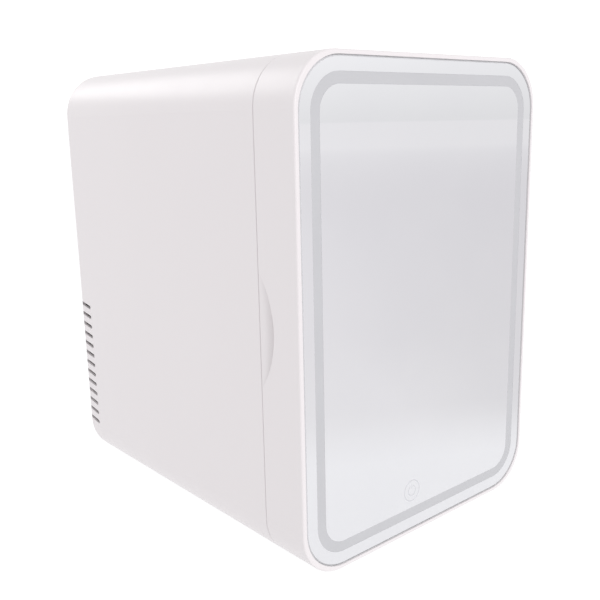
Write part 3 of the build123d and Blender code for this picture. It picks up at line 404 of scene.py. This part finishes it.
def tray_plastic():
    """Translucent, faintly blue plastic of the door bin."""
    shader = Shader("clear_plastic")
    flow = shader.noise(18.0, detail=3.0, stretch=(0.4, 1.0, 1.0))
    shader.colour_from(shader.ramp(flow, "Fac", (0.78, 0.84, 0.88), (0.86, 0.90, 0.92)), "Color")
    shader.roughness_from(flow, "Fac", 0.1, 0.2)
    shader.bump(shader.noise(1500.0), "Fac", 0.00001, 0.4, after=shader.rounded_edges(0.0004))
    shader.set(IOR=1.49, Transmission_Weight=0.55)
    return shader


MATERIALS = {
    "shell_white": shell_plastic(),
    "liner_white": liner_plastic(),
    "mirror": mirror_silver(),
    "frosted": frosted_glass("frosted", (0.51, 0.51, 0.53), (0.455, 0.455, 0.475)),
    "touch_mark": frosted_glass("touch_mark", (0.60, 0.60, 0.63), (0.52, 0.52, 0.55)),
    "rubber": rubber("rubber", (0.50, 0.50, 0.51)),
    "foam": foam(),
    "aluminium": extruded_aluminium(),
    "steel": plated_steel(),
    "hinge": powder_coat(),
    "ceramic": alumina(),
    "black_plastic": black_plastic(),
    "board": solder_mask(),
    "components": component_plastic(),
    "lamp": lamp_lens(),
    "brass": brass(),
    "wire": wire_insulation(),
    "magnet": ferrite(),
    "clear_plastic": tray_plastic(),
}


def dress(piece, slot):
    """Gives a piece the material of a slot, and no other."""
    piece.data.materials.clear()
    piece.data.materials.append(MATERIALS[slot].material)


def dress_cad_nodes():
    """Every CAD node gets the material of its slot in the record, and smooth shading off its sharp edges."""
    for part in frame["record"]["subparts"]:
        node = NODES[part["node"]]
        dress(node, part["material_slot"])
        node.data.set_sharp_from_angle(angle=math.radians(32))


# ---- mesh helpers ----
def piece_from(name, mesh, slot, body, smooth=38.0):
    """A finished piece on a body, with its slot's material and edges sharp above an angle in degrees."""
    piece = bpy.data.objects.new(name, mesh)
    bpy.context.scene.collection.objects.link(piece)
    dress(piece, slot)
    mesh.shade_smooth()
    mesh.set_sharp_from_angle(angle=math.radians(smooth))
    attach(piece, body)
    return piece


def rounded_path(half_w, half_h, radius, steps):
    """Points round a rounded rectangle as (x, z, nx, nz), with the outward normal at each."""
    points = []
    corners = ((1, 1, 0), (-1, 1, 90), (-1, -1, 180), (1, -1, 270))
    for sx, sz, start in corners:
        for i in range(steps + 1):
            angle = math.radians(start + 90 * i / steps)
            nx, nz = math.cos(angle), math.sin(angle)
            x = sx * (half_w - radius) + radius * nx
            z = sz * (half_h - radius) + radius * nz
            points.append((x, z, nx, nz))
    return points


def swept_ring(name, profile, half_w, half_h, radius, centre, steps):
    """A closed profile of (inset, y) points swept round a rounded rectangle in x and z."""
    mesh = bpy.data.meshes.new(name)
    shape = bmesh.new()
    rows = []
    for x, z, nx, nz in rounded_path(half_w, half_h, radius, steps):
        rows.append([shape.verts.new((centre[0] + x - nx * inset, y, centre[1] + z - nz * inset))
                     for inset, y in profile])
    for i, row in enumerate(rows):
        following = rows[(i + 1) % len(rows)]
        for j in range(len(profile)):
            k = (j + 1) % len(profile)
            shape.faces.new((row[j], row[k], following[k], following[j]))
    bmesh.ops.recalc_face_normals(shape, faces=shape.faces)
    shape.to_mesh(mesh)
    shape.free()
    return mesh


# ---- door gasket ----
def door_gasket():
    """Magnetic seal: a foot on the door, two bellows folds and the soft bulb that meets the frame."""
    low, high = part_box("door_gasket")
    y0, depth = low.y, high.y - low.y
    outline = ((0.0, 0.0), (0.0, 0.16), (0.12, 0.30), (0.20, 0.42), (0.10, 0.52), (0.06, 0.68), (0.10, 0.86),
               (0.20, 0.97), (0.40, 1.0), (0.60, 1.0), (0.74, 0.95), (0.80, 0.82), (0.76, 0.64), (0.64, 0.52),
               (0.78, 0.40), (0.98, 0.28), (1.0, 0.16), (1.0, 0.0))
    profile = [(inset * GASKET_W, y0 + part * depth) for inset, part in outline]
    half_w, half_h = (high.x - low.x) / 2, (high.z - low.z) / 2
    centre = ((high.x + low.x) / 2, (high.z + low.z) / 2)
    mesh = swept_ring("gasket_seal", profile, half_w, half_h, GASKET_CORNER_R, centre, steps=16)
    seal = piece_from("gasket_seal", mesh, "rubber", "door", smooth=60.0)
    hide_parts("door_gasket")


# ---- bead round the mirror ----
def mirror_bead():
    """Pale adhesive in the gap between the door's rim and the mirror, a little below both."""
    low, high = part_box("mirror_glass")
    half_w, half_h = (high.x - low.x) / 2 + BEAD_GAP, (high.z - low.z) / 2 + BEAD_GAP
    centre = ((high.x + low.x) / 2, (high.z + low.z) / 2)
    top, root = low.y + BEAD_TOP, low.y + BEAD_ROOT
    sunk = top + BEAD_ROUND
    profile = [(BEAD_CLEAR, root), (BEAD_CLEAR, top), (BEAD_ROUND, sunk), (BEAD_GAP / 2, top + BEAD_SAG),
               (BEAD_GAP - BEAD_ROUND, sunk), (BEAD_GAP - BEAD_CLEAR, top), (BEAD_GAP - BEAD_CLEAR, root)]
    mesh = swept_ring("mirror_bead", profile, half_w, half_h, BEAD_CORNER_R, centre, steps=24)
    piece_from("mirror_bead", mesh, "rubber", "door", smooth=50.0)


# ---- fan rotors ----
def blade(shape, hub_r, tip_r, depth, turn, spans=7, chords=9):
    """One cambered, twisted blade, as a closed sheet about the Y axis."""
    surfaces = []
    for side in (-1, 1):
        rows = []
        for i in range(spans):
            s = i / (spans - 1)
            r = hub_r + (tip_r - hub_r) * s
            sweep = math.radians(BLADE_SWEEP * s * s)
            arc = math.radians(BLADE_ROOT_ARC - BLADE_ARC_DROP * s)
            half_t = (BLADE_TIP_T + BLADE_ROOT_EXTRA_T * (1 - s)) * MM
            row = []
            for j in range(chords):
                c = j / (chords - 1) - 0.5
                camber = (0.25 - c * c) * BLADE_CAMBER * depth
                thick = side * half_t * math.sqrt(max(0.0, 1 - (2 * c) ** 2) + 0.06)
                angle = turn + sweep + arc * c
                y = -depth * BLADE_PITCH * c + camber + thick
                row.append(shape.verts.new((r * math.cos(angle), y, r * math.sin(angle))))
            rows.append(row)
        surfaces.append(rows)
    near, far = surfaces
    for i in range(spans - 1):
        for j in range(chords - 1):
            shape.faces.new((near[i][j], near[i][j + 1], near[i + 1][j + 1], near[i + 1][j]))
            shape.faces.new((far[i][j], far[i + 1][j], far[i + 1][j + 1], far[i][j + 1]))
    rim = [(i, 0) for i in range(spans)] + [(spans - 1, j) for j in range(1, chords)]
    rim += [(i, chords - 1) for i in range(spans - 2, -1, -1)] + [(0, j) for j in range(chords - 2, 0, -1)]
    for (i, j), (k, m) in zip(rim, rim[1:] + rim[:1]):
        shape.faces.new((near[i][j], near[k][m], far[k][m], far[i][j]))


def lathe(shape, profile, steps=48):
    """A solid of revolution about Y from (radius, y) points that start and end on the axis."""
    rows = []
    for r, y in profile[1:-1]:
        rows.append([shape.verts.new((r * math.cos(a), y, r * math.sin(a)))
                     for a in (2 * math.pi * i / steps for i in range(steps))])
    first = shape.verts.new((0.0, profile[0][1], 0.0))
    last = shape.verts.new((0.0, profile[-1][1], 0.0))
    for i in range(steps):
        k = (i + 1) % steps
        shape.faces.new((first, rows[0][i], rows[0][k]))
        for a, b in zip(rows, rows[1:]):
            shape.faces.new((a[i], b[i], b[k], a[k]))
        shape.faces.new((last, rows[-1][k], rows[-1][i]))


def fan_rotor(node, body):
    """Swept blades on a cup hub, in the space of the CAD rotor."""
    low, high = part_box(node)
    centre = Vector(((low.x + high.x) / 2, 0.0, (low.z + high.z) / 2))
    tip_r = (high.z - low.z) / 2 - ROTOR_TIP_GAP
    hub_r = tip_r * HUB_SHARE
    depth = high.y - low.y
    front, back = low.y, high.y - 0.14 * depth  # the rest of the depth is the shaft's
    shape = bmesh.new()
    for i in range(BLADE_COUNT):
        turn = 2 * math.pi * i / BLADE_COUNT
        blade(shape, hub_r - 0.6 * MM, tip_r - 0.5 * MM, (back - front) * 0.8, turn)
    bmesh.ops.translate(shape, verts=shape.verts, vec=(0.0, (front + back) / 2, 0.0))
    dish = front + 0.35 * MM
    cup = back - 1.0 * MM
    face = [(0.0, dish), (hub_r * 0.55, dish), (hub_r * 0.62, front), (hub_r * 0.90, front)]
    wall = [(hub_r * 0.97, front + 0.4 * MM), (hub_r, front + 1.3 * MM), (hub_r, back), (hub_r * 0.9, back)]
    shaft = [(hub_r * 0.9, cup), (SHAFT_R, cup), (SHAFT_R, high.y), (0.0, high.y)]
    lathe(shape, face + wall + shaft)
    bmesh.ops.recalc_face_normals(shape, faces=shape.faces)
    bmesh.ops.translate(shape, verts=shape.verts, vec=centre)
    mesh = bpy.data.meshes.new(node + "_blades")
    shape.to_mesh(mesh)
    shape.free()
    rotor = piece_from(node + "_blades", mesh, "black_plastic", body)
    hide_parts(node)


# ---- studio ----
def along(shader, source, output, direction):
    """How far a point or direction lies along another, as a node."""
    toward = shader.node("ShaderNodeVectorMath", operation="DOT_PRODUCT")
    toward.inputs[1].default_value = direction
    shader.link(source, output, toward, 0)
    return toward


def stops(ramp, *pairs):
    """Greys or colours of a ramp, each at its place from 0 to 1."""
    elements = ramp.color_ramp.elements
    while len(elements) < len(pairs):
        elements.new(1.0)
    for element, (place, value) in zip(elements, pairs):
        element.position = place
        element.color = colour(value)


def side_grey(shader, source, output):
    """A factor that falls from the left of the door to its right, by direction."""
    return shader.ramp(along(shader, source, output, GREY_SIDE), "Value", 1.0, 0.885, 0.70, 0.96)


def floor():
    """A pale floor that glows a little, so that it lights the object from below as a white table does; its
    glow holds painted shade, dimming beyond the table's edge and to the right of the door.
    """
    mesh = bpy.data.meshes.new("floor")
    corners = [(sx * FLOOR_REACH, sy * FLOOR_REACH, 0) for sx, sy in ((-1, -1), (1, -1), (1, 1), (-1, 1))]
    mesh.from_pydata(corners, [], [(0, 1, 2, 3)])
    plane = bpy.data.objects.new("floor", mesh)
    bpy.context.scene.collection.objects.link(plane)
    shader = Shader("floor")
    # Painted shade: the glow falls off beyond the table's edge and to the right of the door, as light falls
    # off away from a lit table.
    outward = along(shader, shader.place, "Object", [part / ROOM_DEPTH for part in TABLE_EDGE])
    beyond = shader.node("ShaderNodeValToRGB")
    stops(beyond, (0.04, (0.82, 0.81, 0.815)), (0.08, (0.785, 0.77, 0.78)), (0.19, (0.79, 0.775, 0.79)),
          (0.38, (0.825, 0.81, 0.825)), (0.78, (0.885, 0.875, 0.885)), (1.0, (0.935, 0.925, 0.93)))
    shader.link(outward, "Value", beyond, "Fac")
    heading = shader.node("ShaderNodeVectorMath", operation="NORMALIZE")
    shader.link(shader.place, "Object", heading, 0)
    side = side_grey(shader, heading, "Vector")
    far_floor_painted_shade = shader.mix(None, 1.0, (beyond, "Color"), (side, "Color"), "MULTIPLY")
    edge = shader.ramp(outward, "Value", 0.0, 1.0, TABLE_END / ROOM_DEPTH, ROOM_START / ROOM_DEPTH)
    shader.plug(shader.mix(edge, "Color", (0.91, 0.91, 0.915), far_floor_painted_shade), "Emission Color")
    shader.set(Base_Color=colour(0.15), Roughness=0.9, Emission_Strength=1.0, Specular_IOR_Level=0.0)
    mesh.materials.append(shader.material)


class Sky(Shader):
    """The world's node tree."""

    def __init__(self, name):
        world = bpy.data.worlds.new(name)
        bpy.context.scene.world = world
        world.use_nodes = True
        self.tree = world.node_tree
        self.tree.nodes.clear()
        self.output = self.node("ShaderNodeOutputWorld")
        self.surface = self.node("ShaderNodeBackground")
        self.link(self.surface, "Background", self.output, "Surface")
        self.place = self.node("ShaderNodeTexCoord")


def surround():
    """Soft white walls, brightest a little above the horizon, under a plain ceiling."""
    sky = Sky("studio")
    height = sky.node("ShaderNodeSeparateXYZ")
    sky.link(sky.place, "Generated", height, "Vector")
    rise = sky.node("ShaderNodeValToRGB")
    stops(rise, (0.0, 1.12), (0.08, 1.30), (0.45, 0.95))
    sky.link(height, "Z", rise, "Fac")
    side = side_grey(sky, sky.place, "Generated")
    shade = sky.mix(None, 1.0, (side, "Color"), (rise, "Color"), "MULTIPLY")
    for direction, dimmed in (((-1.0, 0.0, 0.0), 0.86), ((0.0, -1.0, 0.0), 0.92)):
        fall = sky.ramp(along(sky, sky.place, "Generated", direction), "Value", 1.0, dimmed, 0.0, 0.6)
        shade = sky.mix(None, 1.0, shade, (fall, "Color"), "MULTIPLY")
    sky.plug(shade, "Color")


def softbox(name, place, aim, size, power):
    """A soft lamp, with its sides in metres and its power in watts."""
    lamp = bpy.data.lights.new(name, "AREA")
    lamp.shape = "RECTANGLE"
    lamp.size, lamp.size_y = size
    lamp.energy = power
    box = bpy.data.objects.new(name, lamp)
    box.location = place
    box.rotation_euler = (Vector(aim) - Vector(place)).to_track_quat("-Z", "Y").to_euler()
    bpy.context.scene.collection.objects.link(box)


def lights():
    """One lamp above the back left for the glow along the top edge, and one far in front."""
    middle = (0.0, 0.0, 0.17)
    softbox("top_light", (-0.55, 1.25, 1.15), middle, (1.0, 0.7), 5.5)
    softbox("front_light", (-0.1, -2.1, 0.9), middle, (0.9, 0.9), 15.0)


def camera():
    """Three-quarter view from the front left, a little above, with a slight roll."""
    shell_low, shell_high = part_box("outer_shell")
    door_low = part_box("door_shell")[0]
    azimuth, elevation, roll = (math.radians(a) for a in CAMERA_TURN)
    back = Vector((math.sin(azimuth) * math.cos(elevation), -math.cos(azimuth) * math.cos(elevation),
                   math.sin(elevation)))
    level = Vector((math.cos(azimuth), math.sin(azimuth), 0.0))
    upright = back.cross(level)
    right = math.cos(roll) * level + math.sin(roll) * upright
    up = math.cos(roll) * upright - math.sin(roll) * level
    lens = bpy.data.cameras.new("camera")
    lens.sensor_width = 36.0
    lens.lens = CAMERA_LENS
    lens.clip_start, lens.clip_end = 0.01, 100.0
    eye = bpy.data.objects.new("camera", lens)
    foot = ((shell_low.x + shell_high.x) / 2, door_low.y, door_low.z)
    rows = [(right[i], up[i], back[i], foot[i] + CAMERA_OFFSET[i]) for i in range(3)]
    eye.matrix_world = Matrix(rows + [(0.0, 0.0, 0.0, 1.0)])
    bpy.context.scene.collection.objects.link(eye)
    bpy.context.scene.camera = eye


dress_cad_nodes()
door_gasket()
mirror_bead()
fan_rotor("hot_fan_rotor", "hot_fan_rotor")
fan_rotor("cold_fan_rotor", "cold_fan_rotor")
floor()
surround()
lights()
camera()
bpy.context.scene.view_settings.view_transform = "Standard"
bpy.context.scene.view_settings.look = "None"
